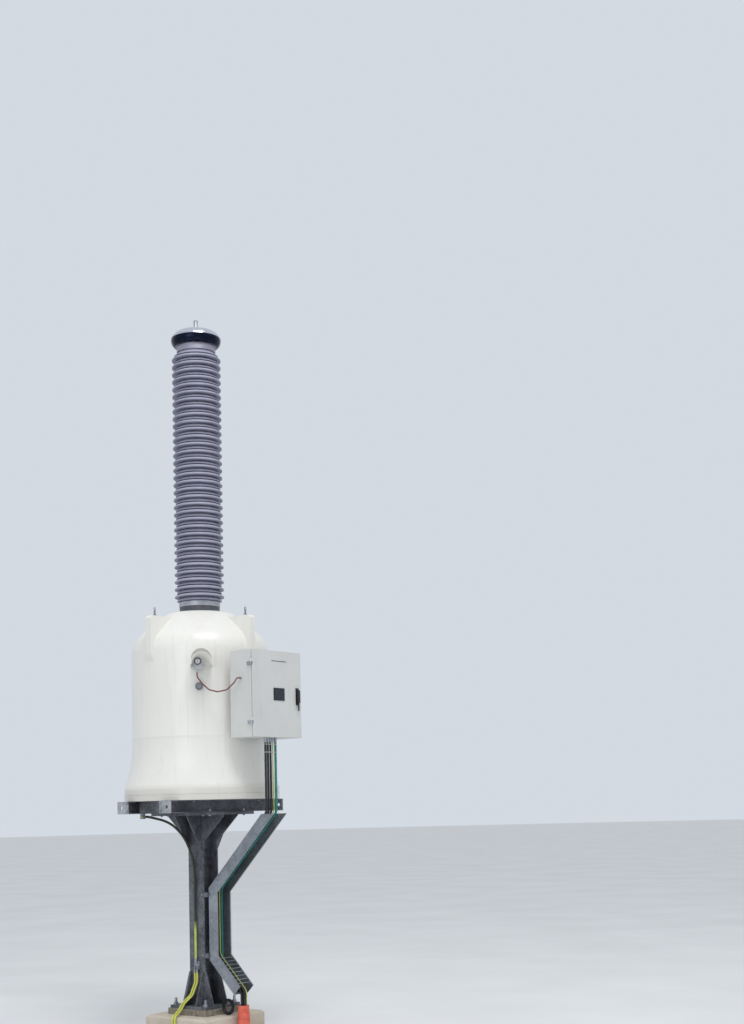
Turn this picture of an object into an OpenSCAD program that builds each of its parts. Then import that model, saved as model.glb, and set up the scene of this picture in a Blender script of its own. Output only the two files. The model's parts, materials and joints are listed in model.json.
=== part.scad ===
// Gas-insulated voltage transformer on a steel column, one unit of a row.
// The origin is at ground level under the middle of the column.
// +X is the side with the terminal box and the cable tray, -Y is the earth cable's side.

/* [Foundation] */
// Side of the square concrete plinth
plinth_side = 750; // [600:10:1000]
// Height of the plinth above the ground
plinth_h = 150; // [100:10:240]
// Chamfer along the plinth's top edge
plinth_chamfer = 20; // [5:5:40]
// Side of the square grout pad
grout_side = 470; // [440:10:560]
// Thickness of the grout pad
grout_h = 55; // [30:5:80]
// Side of the steel base plate
base_plate_side = 440; // [420:10:520]
// Thickness of the base plate
base_plate_t = 25; // [15:1:40]
// Distance between the anchor bolts, along X and Y
anchor_spacing = 370; // [340:10:400]
// Diameter of the anchor bolts
anchor_d = 24; // [16:1:30]

/* [Column and frame] */
// Width of the column's flanges, along X
column_w = 190; // [150:5:220]
// Depth of the column, along Y
column_d = 190; // [150:5:220]
// Thickness of the column's flanges
column_flange_t = 14; // [8:1:20]
// Thickness of the column's web
column_web_t = 10; // [6:1:16]
// Height of the top face of the head plate
head_z = 1945; // [1600:5:2200]
// Size of the head plate along X
head_plate_x = 720; // [680:10:800]
// Size of the head plate along Y
head_plate_y = 600; // [500:10:700]
// Thickness of the head plate
head_plate_t = 25; // [15:1:35]
// Distance from the centre to each support beam
beam_offset = 264; // [230:1:300]
// Width of the support beams
beam_w = 140; // [120:5:160]
// Height of the support beams
beam_h = 110; // [90:5:140]
// Length of the support beams
beam_l = 1460; // [1300:10:1500]
// Distance from the centre to each cross channel
cross_offset = 600; // [400:10:640]

/* [Tank] */
// Radius of the tank's barrel
barrel_r = 627; // [550:1:680]
// Radius of the tank's bottom flange
flange_r = 704; // [690:1:760]
// Height of the lower edge of the tank, above the ground
tank_z = 2055; // [1800:5:2300]
// Height of the straight bottom flange
flange_h = 105; // [80:1:130]
// Height where the flare runs into the straight barrel
flare_top_z = 2590; // [2500:5:2700]
// Radius of the flare's curve
flare_r = 1250; // [1200:10:1400]
// Height where the barrel ends and the dome starts
dome_z = 3385; // [3200:5:3420]
// Radius of the dome's rounded shoulder
knuckle_r = 240; // [200:5:300]
// Radius of the dome's upper curve
crown_r = 1600; // [1500:10:2000]
// Radius of the dome's flat top
dome_top_r = 300; // [260:5:340]
// Distance from the axis to the outer face of the lifting lugs
lug_r = 652; // [650:1:680]
// Thickness of the lifting lugs
lug_t = 70; // [40:1:90]
// Height of the top of the lifting lugs
lug_top_z = 3700; // [3600:5:3740]
// Distance from the axis to the eye bolts
eye_bolt_r = 570; // [560:1:605]

/* [Insulator] */
// Height of the top of the insulator's dark foot flange
foot_top_z = 3827; // [3800:1:3860]
// Height where the rubber tube with its sheds begins
shed_start_z = 3872; // [3862:1:3950]
// Height where the rubber tube ends
shed_end_z = 6231; // [5800:1:6260]
// Number of large sheds, with a small one below each and one more at the top
shed_count = 33; // [20:1:36]
// Radius of the insulator's rubber-covered tube
core_r = 166; // [140:1:170]
// Radius of the large sheds
shed_r = 227; // [200:1:240]
// Radius of the small sheds between them
small_shed_r = 206; // [180:1:220]
// Radius of the top cap at its widest
cap_r = 232; // [200:1:260]
// Height of the top of the cap
cap_top_z = 6450; // [6400:5:6600]
// Diameter of the terminal stud
stud_d = 40; // [30:1:60]
// Length of the terminal stud above its collar
stud_l = 86; // [40:1:120]

/* [Terminal box] */
// Distance from the axis to the back of the box
box_x = 665; // [660:1:700]
// Width of the box
box_w = 624; // [560:1:680]
// Height of the box
box_h = 760; // [680:5:820]
// Height of the bottom of the box above the ground
box_z = 2585; // [2400:5:2700]
// Depth of the box without its door
box_body_d = 250; // [220:1:280]
// Depth of the door
door_d = 20; // [16:1:30]
// Gap between the box and its closed door
door_gap = 5; // [5:0.5:8]
// Thickness of the box's sheet
sheet_t = 3; // [2:0.5:4]
// Width of the dark window in the door
window_w = 143; // [100:1:200]
// Height of the dark window in the door
window_h = 110; // [80:1:160]
// Distance from the axis plane to the middle of the window
window_y = 16; // [-60:1:60]
// Height of the middle of the window
window_z = 2963; // [2850:1:3100]
// Length of the door's swing handle
handle_l = 128; // [120:1:220]

/* [Gauge] */
// Radius of the visor's arch over the gauge
visor_r = 96; // [80:1:120]
// Height of the middle of the arch
visor_z = 3264; // [3250:1:3320]
// Distance from the axis to the visor's front edge
visor_reach = 895; // [860:1:920]
// Height of the filling valve
valve_z = 3046; // [2950:1:3080]

/* [Cables and tray] */
// Width of the cable tray
tray_w = 180; // [140:5:220]
// Depth of the cable tray
tray_d = 100; // [60:5:120]
// Distance from the axis to the back of the tray's upright part
tray_x = 150; // [145:1:180]
// Height where the tray bends out towards the box
tray_upper_z = 1270; // [1200:5:1400]
// Height where the tray bends out towards the conduit
tray_lower_z = 630; // [560:5:700]
// Sideways reach of the sloping upper part of the tray
tray_slope_reach = 650; // [600:5:700]
// Sideways reach of the tray's foot
tray_foot_reach = 290; // [240:5:310]
// Distance from the axis to the conduit
conduit_x = 456; // [450:1:480]
// Distance of the conduit from the axis plane
conduit_y = 15; // [-20:1:40]
// Outer radius of the conduit's lower pipe, into which the narrower upper one goes
conduit_r = 55; // [55:1:64]
// Height of the top of the conduit
conduit_top_z = 240; // [200:5:270]

/* [Hidden] */
$fn = 96;

// Small allowance by which a cutting shape runs past the piece it cuts
cut = 1;
// Depth by which a fitting on the tank starts inside its wall, before it is cut to it
sink = 10;
// Gap between a stud and the hole it passes through
stud_play = 1;
// Thickness of gusset plates
gusset_t = 12;
// Height of the base and the head of the column
grout_z = plinth_h + grout_h;
column_z = grout_z + base_plate_t;
head_plate_z = head_z - head_plate_t;
// Front faces of the box and its door
box_front_x = box_x + box_body_d;
door_x = box_front_x + door_gap;
door_front_x = door_x + door_d;
box_top_z = box_z + box_h;
// The door turns about an upright pin beside the box
hinge_aside = 9.5;
hinge_y = -box_w / 2 - hinge_aside;
hinge_heights = [box_z + 110, box_top_z - 140];
knuckle_r_out = 8;
knuckle_l = 30;
hinge_pin_r = 4;
// The handle turns about a level pin near its upper end
handle_y = box_w / 2 - 55;
handle_z = 2997;
handle_x = door_front_x + 13;
// Cables come out of the box in this plane, in a row along Y
cable_drop_x = 850;
black_cable_rows = [-75, -43, -9];
bonding_wire_row = 22;
teal_cable_row = 56;
cable_lift = 28;
gland_h = 42;
gland_d = 25;
lead_gland = [794, -box_w / 2, 3100];
lead_gland_d = 18;
// Coil of spare cable that stands on the plinth between the pad and the conduit
coil_at = [312, -30];
coil_r = 60;
coil_cord_r = 13;
coil_w = 34;
// Routes of the earth cables: one above the bolted joint, a pair below it
earth_plate_t = 6;
earth_upper_r = 11;
earth_lower_r = 9;
earth_face_y = -column_d / 2 - earth_plate_t - earth_upper_r;
earth_upper_end = 622;
earth_lower_end = 540;
earth_start = [-168, -572, 1918];
earth_upper_route = [earth_start, earth_start + [0, 52, 0], [-60, -360, 1868],
                     [-38, -196, 1730], [-8, -120, 1530], [0, earth_face_y, 1350],
                     [0, earth_face_y, earth_upper_end]];
earth_lower_route = [[0, earth_face_y, earth_lower_end], [0, earth_face_y, 430],
                     [-22, -150, 318], [-60, -215, 252], [-64, -262, 190], [-36, -330, 166],
                     [-12, -372, 164], [-8, -391, 140], [-8, -391, 4]];
earth_pair_gap = 28;
// Place of the gauge, which faces out between -Y and +X, and of the knob below it
gauge_z = 3192;
gauge_stem_l = 20;
gauge_body_d = 52;
gauge_knob_l = 26;
gauge_knob_aside = -37;
function out_at(d, aside, z) = [(d + aside) / sqrt(2), (aside - d) / sqrt(2), z];
// Route of the gauge's lead to its gland on the side of the box
lead_gland_l = 20;
lead_start = out_at(barrel_r + gauge_stem_l + gauge_body_d / 2, gauge_knob_aside,
                    gauge_z - gauge_knob_l);
gauge_lead_route = [lead_start, lead_start + [0, 0, -41], [490, -486, 3068],
                    [553, -464, 3008], [640, -446, 2984], [718, -410, 2998],
                    [lead_gland[0] - 16, -378, 3062],
                    [lead_gland[0], lead_gland[1] - 50, lead_gland[2]],
                    [lead_gland[0], lead_gland[1] - lead_gland_l, lead_gland[2]]];

// Vector helpers for the swept cables
function unit(v) = v / norm(v);
function tangent(p, i) =
    i == 0 ? unit(p[1] - p[0])
    : i == len(p) - 1 ? unit(p[i] - p[i - 1])
    : unit(unit(p[i + 1] - p[i]) + unit(p[i] - p[i - 1]));
function ring(p, i, r, ref, n) =
    let (t = tangent(p, i), u = unit(cross(ref, t)), v = cross(t, u))
    [for (k = [0:n - 1]) p[i] + r * (cos(360 * k / n) * u + sin(360 * k / n) * v)];

// Points of a circular bend of radius r at the corner b of a-b-c
function bend(a, b, c, r, n) =
    let (u = unit(a - b),
         w = unit(c - b),
         half = acos(u * w) / 2,
         run = min(r / tan(half), norm(a - b) * 0.48, norm(c - b) * 0.48),
         centre = b + unit(u + w) * run / cos(half),
         s = b + u * run,
         e = b + w * run,
         rr = norm(s - centre))
    [for (k = [0:n]) centre + rr * unit((s - centre) * (1 - k / n) + (e - centre) * k / n)];
function soft_route(p, r, n) =
    concat([p[0]],
           [for (i = [1:len(p) - 2]) each bend(p[i - 1], p[i], p[i + 1], r, n)],
           [p[len(p) - 1]]);

// Round cable swept along a route
module cable(route, r, ref, bend_r = 90, bend_n = 4, n = 10) {
    p = soft_route(route, bend_r, bend_n);
    last = len(p) - 1;
    points = [for (i = [0:last]) each ring(p, i, r, ref, n)];
    sides = [for (i = [0:last - 1], k = [0:n - 1])
             each let (a = i * n + k, b = i * n + (k + 1) % n)
             [[a, a + n, b], [b, a + n, b + n]]];
    caps = [[for (k = [0:n - 1]) k], [for (k = [n - 1:-1:0]) last * n + k]];
    polyhedron(points = points, faces = concat(sides, caps));
}

// Outline of an H-section with flanges w wide and a depth d
module h_section(w, d, flange_t, web_t) {
    square([web_t, d], center = true);
    for (s = [-1, 1]) translate([0, s * (d - flange_t) / 2])
        square([w, flange_t], center = true);
}

// Triangular stiffener: foot is its long edge, rise its height, both with blunt ends
module gusset(foot, rise) {
    blunt = 10;
    rotate([90, 0, 0]) translate([0, 0, -gusset_t / 2]) linear_extrude(gusset_t)
        polygon([[0, 0], [foot, 0], [foot, blunt], [blunt, rise], [0, rise]]);
}

// Stiffeners on the eight outer faces of the column's flange ends
module gusset_set(foot_x, rise_x, foot_y, rise_y) {
    inset = 20;
    for (sx = [-1, 1], sy = [-1, 1]) {
        translate([sx * column_w / 2, sy * (column_d - column_flange_t) / 2, 0])
            mirror([sx < 0 ? 1 : 0, 0, 0]) gusset(foot_x, rise_x);
        translate([sx * (column_w / 2 - inset), sy * column_d / 2, 0])
            rotate([0, 0, sy * 90]) gusset(foot_y, rise_y);
    }
}

module concrete_plinth() {
    s = plinth_side / 2;
    c = plinth_chamfer;
    color("#cfc7ba") difference() {
        intersection() {
            rotate([90, 0, 0]) translate([0, 0, -s]) linear_extrude(plinth_side)
                polygon([[-s, 0], [s, 0], [s, plinth_h - c], [s - c, plinth_h],
                         [c - s, plinth_h], [-s, plinth_h - c]]);
            rotate([90, 0, 90]) translate([0, 0, -s]) linear_extrude(plinth_side)
                polygon([[-s, 0], [s, 0], [s, plinth_h - c], [s - c, plinth_h],
                         [c - s, plinth_h], [-s, plinth_h - c]]);
        }
        anchor_holes(plinth_h - anchor_embed(), anchor_embed() + cut);
    }
}

// Depth of the anchor bolts in the plinth
function anchor_embed() = plinth_h * 0.6;

module anchor_holes(z, h) {
    for (sx = [-1, 1], sy = [-1, 1])
        translate([sx * anchor_spacing / 2, sy * anchor_spacing / 2, z])
            cylinder(h = h, d = anchor_d + 2 * stud_play, $fn = 32);
}

module grout_pad() {
    color("#8a8478") difference() {
        translate([-grout_side / 2, -grout_side / 2, plinth_h])
            cube([grout_side, grout_side, grout_h]);
        anchor_holes(plinth_h - cut, grout_h + 2 * cut);
    }
}

module base_plate() {
    color("#7b7e82") difference() {
        translate([-base_plate_side / 2, -base_plate_side / 2, grout_z])
            cube([base_plate_side, base_plate_side, base_plate_t]);
        anchor_holes(grout_z - cut, base_plate_t + 2 * cut);
    }
}

module anchor_bolts() {
    nut_h = 20;
    washer_h = 4;
    stand_proud = 62;
    foot = plinth_h - anchor_embed();
    color("#9a9ca0") for (sx = [-1, 1], sy = [-1, 1])
        translate([sx * anchor_spacing / 2, sy * anchor_spacing / 2, 0]) {
            translate([0, 0, foot])
                cylinder(h = column_z - foot + stand_proud, d = anchor_d, $fn = 32);
            translate([0, 0, column_z]) cylinder(h = washer_h, d = anchor_d * 2, $fn = 32);
            translate([0, 0, column_z + washer_h])
                cylinder(h = nut_h, d = anchor_d * 1.75, $fn = 6);
        }
}

module support_column() {
    color("#54575d") translate([0, 0, column_z]) linear_extrude(head_plate_z - column_z)
        h_section(column_w, column_d, column_flange_t, column_web_t);
}

module base_gussets() {
    color("#5d6066") translate([0, 0, column_z])
        gusset_set(foot_x = 95, rise_x = 290, foot_y = 105, rise_y = 290);
}

module head_gussets() {
    color("#4d5056") translate([0, 0, head_plate_z]) mirror([0, 0, 1])
        gusset_set(foot_x = 255, rise_x = 230, foot_y = 185, rise_y = 315);
}

module head_plate() {
    color("#4a4d53") translate([-head_plate_x / 2, -head_plate_y / 2, head_plate_z])
        cube([head_plate_x, head_plate_y, head_plate_t]);
}

module frame_beams() {
    end_t = 10;
    flange_t = 9;
    web_t = 8;
    hole_d = 30;
    hole_aside = 22;
    color("#50535a") for (s = [-1, 1]) translate([s * beam_offset, 0, head_z + beam_h / 2])
        difference() {
            union() {
                rotate([90, 0, 0]) translate([0, 0, -beam_l / 2]) linear_extrude(beam_l)
                    h_section(beam_w, beam_h, flange_t, web_t);
                for (e = [-1, 1]) translate([0, e * (beam_l - end_t) / 2, 0])
                    cube([beam_w, end_t, beam_h], center = true);
            }
            for (e = [-1, 1]) translate([s * hole_aside, e * beam_l / 2, 0])
                rotate([90, 0, 0]) cylinder(h = 3 * end_t, d = hole_d, center = true, $fn = 32);
        }
}

module frame_channels() {
    flange = 55;
    t = 8;
    span = 2 * (beam_offset - beam_w / 2);
    color("#4b4e55") for (s = [-1, 1])
        translate([-span / 2, s * cross_offset, head_z]) mirror([0, s > 0 ? 0 : 1, 0]) {
            translate([0, -t, 0]) cube([span, t, beam_h]);
            translate([0, -flange, 0]) cube([span, flange, t]);
            translate([0, -flange, beam_h - t]) cube([span, flange, t]);
        }
}

module tank_base_plate() {
    color("#dddcd6") translate([0, 0, tank_z]) cylinder(h = flange_h / 2 - 2, r = flange_r);
}

module tank_skirt() {
    groove = 8;
    groove_h = 6;
    low = tank_z + flange_h / 2 - 2;
    high = tank_z + flange_h;
    function flare(z) = barrel_r + flare_r - sqrt(flare_r ^ 2 - (flare_top_z - z) ^ 2);
    steps = 10;
    color("#e2e1db") rotate_extrude()
        polygon(concat([[0, low], [flange_r - groove, low], [flange_r - groove, low + groove_h],
                        [flange_r, low + groove_h], [flange_r, high]],
                       [for (i = [1:steps])
                        let (z = high + (flare_top_z - high) * i / steps) [flare(z), z]],
                       [[0, flare_top_z]]));
}

module tank_barrel() {
    color("#e6e5df") translate([0, 0, flare_top_z])
        cylinder(h = dome_z - flare_top_z, r = barrel_r);
}

// Outline of the dome: a rounded shoulder, then a long curve up to the flat top, whose
// height is a whole number so that what stands on it touches it exactly
function dome_outline() =
    let (turn = 45,
         c = [barrel_r - knuckle_r, dome_z],
         join = c + knuckle_r * [cos(turn), sin(turn)],
         k = join - crown_r * [cos(turn), sin(turn)],
         last = acos((dome_top_r - k[0]) / crown_r))
    concat([for (a = [0:5:turn]) c + knuckle_r * [cos(a), sin(a)]],
           [for (i = [1:4]) let (a = turn + (last - turn) * i / 5)
            k + crown_r * [cos(a), sin(a)]],
           [[dome_top_r, round(k[1] + crown_r * sin(last))]]);
dome_top_z = dome_outline()[len(dome_outline()) - 1][1];

module dome_solid() {
    rotate_extrude() polygon(concat([[0, dome_z]], dome_outline(), [[0, dome_top_z]]));
}

module tank_dome() {
    color("#e8e7e1") dome_solid();
}

module lifting_lugs() {
    low = dome_z - 85;
    slope = 60;
    bevel = 24;
    inner = 350;
    color("#dfded8") difference() {
        for (a = [0:90:270]) rotate([0, 0, a]) rotate([90, 0, 0])
            translate([0, 0, -lug_t / 2]) linear_extrude(lug_t)
                polygon([[inner, low], [barrel_r, low], [lug_r, low + slope],
                         [lug_r, lug_top_z - bevel], [lug_r - bevel, lug_top_z],
                         [inner, lug_top_z]]);
        dome_solid();
        translate([0, 0, low - cut]) cylinder(h = dome_z - low + cut, r = barrel_r);
    }
}

module eye_bolts() {
    ring_r = 27;
    wire_r = 8;
    collar_h = 12;
    color("#b4b7bb") for (a = [0:90:270]) rotate([0, 0, a]) translate([eye_bolt_r, 0, lug_top_z]) {
        cylinder(h = collar_h, r = 17, $fn = 32);
        // All four rings are turned the same way
        translate([0, 0, collar_h + ring_r + wire_r - 3]) rotate([90, 0, -a - 45])
            rotate_extrude($fn = 48) translate([ring_r, 0]) circle(r = wire_r, $fn = 24);
    }
}

module insulator_foot() {
    neck_h = 16;
    neck_r = 170;
    foot_r = 184;
    color("#3c3f47") translate([0, 0, dome_top_z]) {
        cylinder(h = neck_h, r = neck_r);
        translate([0, 0, neck_h]) cylinder(h = foot_top_z - dome_top_z - neck_h, r = foot_r);
    }
}

module insulator_sleeve() {
    sleeve_r = 187;
    color("#a9acb4") translate([0, 0, foot_top_z])
        cylinder(h = shed_start_z - foot_top_z, r = sleeve_r);
}

// One shed on the tube: its underside rises a little, its top slopes steeply down to the rim
function shed_outline(z, r, rim, root) =
    let (under = 4)
    [[core_r, z], [r, z + under], [r, z + under + rim], [core_r, z + root]];

module insulator() {
    bare_end = 17;
    pitch = (shed_end_z - bare_end - shed_start_z) / (shed_count + 0.5);
    small_at = pitch * 0.0915;
    large_at = pitch * 0.588;
    root = pitch * 0.486;
    color("#6e6f7c") rotate_extrude()
        polygon(concat([[0, shed_start_z], [core_r, shed_start_z]],
                       [for (i = [0:shed_count]) let (z = shed_start_z + i * pitch)
                        each concat(
                            shed_outline(z + small_at, small_shed_r, rim = 4, root = root),
                            i == shed_count ? []
                            : shed_outline(z + large_at, shed_r, rim = 5, root = root))],
                       [[core_r, shed_end_z], [0, shed_end_z]]));
}

// Height of the metal head ring between the last shed and the cap
head_ring_h = 56;

module insulator_head() {
    head_ring_r = 180;
    color("#9da3b1") translate([0, 0, shed_end_z]) cylinder(h = head_ring_h, r = head_ring_r);
}

module top_cap() {
    low = shed_end_z + head_ring_h;
    h = cap_top_z - low;
    under_turn = 70;
    under_h = h * 0.4;
    under_r = 58;
    lid_h = h * 0.565;
    lid_r = 130;
    wide_z = low + under_h;
    steps = 6;
    color("#b8bcc6") rotate_extrude()
        polygon(concat([[0, low]],
                       [for (i = [0:steps]) let (a = -under_turn + under_turn * i / steps)
                        [cap_r - under_r + under_r * cos(a),
                         wide_z + under_h * sin(a) / sin(under_turn)]],
                       [for (i = [1:steps]) let (a = 90 * i / steps)
                        [cap_r - lid_r + lid_r * cos(a), wide_z + lid_h * sin(a)]],
                       [[0, cap_top_z]]));
}

module terminal_stud() {
    collar_h = 14;
    color("#c4c8ce") translate([0, 0, cap_top_z]) {
        cylinder(h = collar_h, d = stud_d * 2);
        translate([0, 0, collar_h]) cylinder(h = stud_l, d = stud_d);
    }
}

// Turns what follows to face out between -Y and +X
module facing_out() {
    rotate([0, 0, -45]) children();
}

module gauge_visor() {
    t = 8;
    drop = 50;
    gap = 25;
    tab_h = 30;
    tab_l = 100;
    // Stands off from the tank and is held by a tab low on each side
    color("#dcdbd6") facing_out() difference() {
        translate([0, 0, visor_z]) rotate([90, 0, 90]) {
            translate([0, 0, barrel_r + gap]) linear_extrude(visor_reach - barrel_r - gap)
                difference() {
                    union() {
                        circle(r = visor_r);
                        translate([-visor_r, -drop]) square([2 * visor_r, drop]);
                    }
                    circle(r = visor_r - t);
                    translate([t - visor_r, -drop - visor_r])
                        square([2 * (visor_r - t), drop + visor_r]);
                }
            for (s = [-1, 1]) translate([s * (visor_r - t / 2), tab_h / 2 - drop, barrel_r])
                cube([t, tab_h, tab_l], center = true);
        }
        translate([0, 0, visor_z - 2 * visor_r]) cylinder(h = 4 * visor_r, r = barrel_r);
    }
}

module density_gauge() {
    aside = -31;
    body_w = 74;
    stem_d = 30;
    dial_d = 64;
    dial_t = 10;
    dial_lift = 67;
    knob_d = 24;
    // The case has an arched top about the dial, and a knob below for its lead
    color("#c9cdd2") facing_out() translate([0, aside, gauge_z]) {
        difference() {
            translate([barrel_r - sink, 0, dial_lift]) rotate([0, 90, 0])
                cylinder(h = gauge_stem_l + sink, d = stem_d, $fn = 32);
            translate([0, -aside, 0]) cylinder(h = 2 * dial_lift, r = barrel_r);
        }
        translate([barrel_r + gauge_stem_l, 0, 0]) {
            translate([0, -body_w / 2, 0]) cube([gauge_body_d, body_w, dial_lift]);
            translate([0, 0, dial_lift]) rotate([0, 90, 0]) {
                cylinder(h = gauge_body_d, d = body_w);
                translate([0, 0, gauge_body_d]) cylinder(h = dial_t, d = dial_d, $fn = 48);
            }
            translate([gauge_body_d / 2, gauge_knob_aside - aside, -gauge_knob_l])
                cylinder(h = gauge_knob_l, d = knob_d, $fn = 32);
        }
    }
}

module filling_valve() {
    aside = -21;
    boss_d = 68;
    boss_l = 22;
    cover_d = 46;
    cover_l = 20;
    color("#9a9da2") facing_out() translate([0, aside, 0]) difference() {
        translate([barrel_r - sink, 0, valve_z]) rotate([0, 90, 0]) {
            cylinder(h = boss_l + sink, d = boss_d, $fn = 48);
            translate([0, 0, boss_l + sink]) cylinder(h = cover_l, d = cover_d, $fn = 48);
        }
        translate([0, -aside, valve_z - boss_d]) cylinder(h = 2 * boss_d, r = barrel_r);
    }
}

module gauge_lead() {
    lead_r = 6;
    color("#7d4a40") cable(gauge_lead_route, lead_r, unit([1, -1, 0]), 60, 3, 8);
}

module box_standoffs() {
    size = [130, 60, 60];
    aside = 170;
    color("#c8c9c8") difference() {
        for (sy = [-1, 1], z = [box_z + 100, box_top_z - 160])
            translate([box_x - size[0], sy * aside - size[1] / 2, z]) cube(size);
        translate([0, 0, box_z]) cylinder(h = box_h, r = barrel_r);
    }
}

module box_body() {
    lip = 22;
    color("#cdcfce") difference() {
        translate([box_x, -box_w / 2, box_z]) cube([box_body_d, box_w, box_h]);
        translate([box_x + sheet_t, sheet_t - box_w / 2, box_z + sheet_t])
            cube([box_body_d - 2 * sheet_t, box_w - 2 * sheet_t, box_h - 2 * sheet_t]);
        translate([box_x + box_body_d / 2, lip - box_w / 2, box_z + lip])
            cube([box_body_d, box_w - 2 * lip, box_h - 2 * lip]);
        // Entries for the cables below and for the gauge's lead at the side
        for (y = all_cable_rows())
            translate([cable_drop_x, y, box_z - cut])
                cylinder(h = sheet_t + 2 * cut, d = gland_d, $fn = 32);
        translate([lead_gland[0], lead_gland[1] - cut, lead_gland[2]]) rotate([-90, 0, 0])
            cylinder(h = sheet_t + 2 * cut, d = lead_gland_d - 2, $fn = 32);
    }
}

function all_cable_rows() = concat(black_cable_rows, [bonding_wire_row, teal_cable_row]);

module terminal_board() {
    margin = 55;
    board = [3, box_w - 90, box_h - 2 * margin];
    foot = [15, 20, 20];
    rail = [45, box_w - 170, 42];
    x = box_x + sheet_t;
    color("#b9bcbc") {
        for (sy = [-1, 1], z = [box_z + 90, box_top_z - 110])
            translate([x, sy * (board[1] / 2 - 30) - foot[1] / 2, z]) cube(foot);
        translate([x + foot[0], -board[1] / 2, box_z + margin]) cube(board);
        for (z = [box_z + 190, box_z + 360, box_z + 530])
            translate([x + foot[0] + board[0], -rail[1] / 2, z]) cube(rail);
    }
}

module box_door() {
    lip = door_d - sheet_t;
    pane_w = window_w - 22;
    pane_h = window_h - 22;
    color("#d2d4d3") difference() {
        union() {
            difference() {
                translate([door_x, -box_w / 2, box_z]) cube([door_d, box_w, box_h]);
                translate([door_x - cut, sheet_t - box_w / 2, box_z + sheet_t])
                    cube([lip + cut, box_w - 2 * sheet_t, box_h - 2 * sheet_t]);
            }
            for (z = hinge_heights) translate([door_x, hinge_y, z + knuckle_l + cut]) {
                cylinder(h = knuckle_l, r = knuckle_r_out, $fn = 32);
                cube([door_d, hinge_aside + cut, knuckle_l]);
            }
        }
        for (z = hinge_heights) translate([door_x, hinge_y, z + knuckle_l])
            cylinder(h = knuckle_l + 2 * cut, r = hinge_pin_r + 0.4, $fn = 32);
        translate([door_x - cut, window_y - pane_w / 2, window_z - pane_h / 2])
            cube([door_d + 2 * cut, pane_w, pane_h]);
    }
}

module door_window() {
    pane_w = window_w - 24;
    pane_h = window_h - 24;
    frame_t = 4;
    color("#15181e") {
        translate([door_front_x - sheet_t, window_y - pane_w / 2, window_z - pane_h / 2])
            cube([sheet_t, pane_w, pane_h]);
        translate([door_front_x, window_y - window_w / 2, window_z - window_h / 2])
            cube([frame_t, window_w, window_h]);
    }
}

module handle_plate() {
    w = 36;
    t = 8;
    color("#22252a") difference() {
        translate([door_front_x, handle_y - w / 2, handle_z - handle_l + 8])
            cube([t, w, handle_l + 22]);
        translate([door_front_x + 2, handle_y, handle_z]) rotate([0, 90, 0])
            cylinder(h = t, r = 7.5, $fn = 32);
    }
}

module door_handle() {
    w = 26;
    t = 15;
    color("#15171b") {
        translate([handle_x, handle_y, handle_z]) rotate([0, 90, 0]) cylinder(h = t, d = w, $fn = 48);
        translate([handle_x, handle_y - w / 2, handle_z - handle_l + 26])
            cube([t, w, handle_l - 26]);
        translate([door_front_x + 3, handle_y, handle_z]) rotate([0, 90, 0])
            cylinder(h = handle_x - door_front_x, r = 7, $fn = 32);
    }
}

module door_hinges() {
    leaf_l = 38;
    leaf_gap = 7;
    color("#b5b7b8") for (z = hinge_heights) translate([door_x, hinge_y, z]) {
        cylinder(h = knuckle_l, r = knuckle_r_out, $fn = 32);
        cylinder(h = 2 * knuckle_l + 6, r = hinge_pin_r, $fn = 32);
        translate([-leaf_gap - leaf_l, -knuckle_r_out / 2, 0])
            cube([leaf_l, hinge_aside + knuckle_r_out / 2, knuckle_l]);
    }
}

module cable_glands() {
    nut_h = 9;
    nut_d = gland_d + 4;
    cap_h = 14;
    cap_lift = 4;
    bore_h = gland_h / 2 + 2 * cut;
    color("#b9bcc0") {
        for (y = all_cable_rows()) translate([cable_drop_x, y, box_z - gland_h]) {
            difference() {
                union() {
                    cylinder(h = gland_h, d = gland_d, $fn = 32);
                    translate([0, 0, gland_h - nut_h]) cylinder(h = nut_h, d = nut_d, $fn = 6);
                    translate([0, 0, cap_lift]) cylinder(h = cap_h, d = nut_d - 1, $fn = 6);
                }
                translate([0, 0, -cut]) cylinder(h = bore_h, d = gland_bore(y), $fn = 32);
            }
        }
        translate(lead_gland) rotate([90, 0, 0]) {
            cylinder(h = nut_h - 2, d = lead_gland_d + 6, $fn = 6);
            cylinder(h = lead_gland_l, d = lead_gland_d, $fn = 32);
        }
    }
}

// Radii of the cables in the tray
black_cable_r = 10;
teal_cable_r = 11;
bonding_wire_r = 5;
function gland_bore(y) =
    2 * (y == bonding_wire_row ? bonding_wire_r : y == teal_cable_row ? teal_cable_r : black_cable_r);

// Depth by which the cables reach into the conduit
cable_dip = 55;
// Height of the upper layer of cables over the lower one
cable_layer = 30;

// Route of a cable from its gland at row y, down the tray and into the conduit,
// where it stands at the offset foot from the conduit's axis. Over the tray's foot
// it lies higher by over, so that the cables reach the conduit in two layers
function tray_route(y, foot, over = 0) =
    let (side = cable_lift * sqrt(2),
         riser_x = tray_x + cable_lift,
         riser_y = y * 0.8,
         foot_x = conduit_x + foot[0],
         foot_y = conduit_y + foot[1])
    [[cable_drop_x, y, box_z - gland_h / 2],
     [cable_drop_x, y, tray_upper_z - side + cable_drop_x - tray_x],
     [riser_x, riser_y, tray_upper_z - side + riser_x - tray_x],
     [riser_x, riser_y, tray_lower_z + side + over - riser_x + tray_x],
     [foot_x, foot_y, tray_lower_z + side + over - foot_x + tray_x],
     [foot_x, foot_y, conduit_top_z - cable_dip]];

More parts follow.
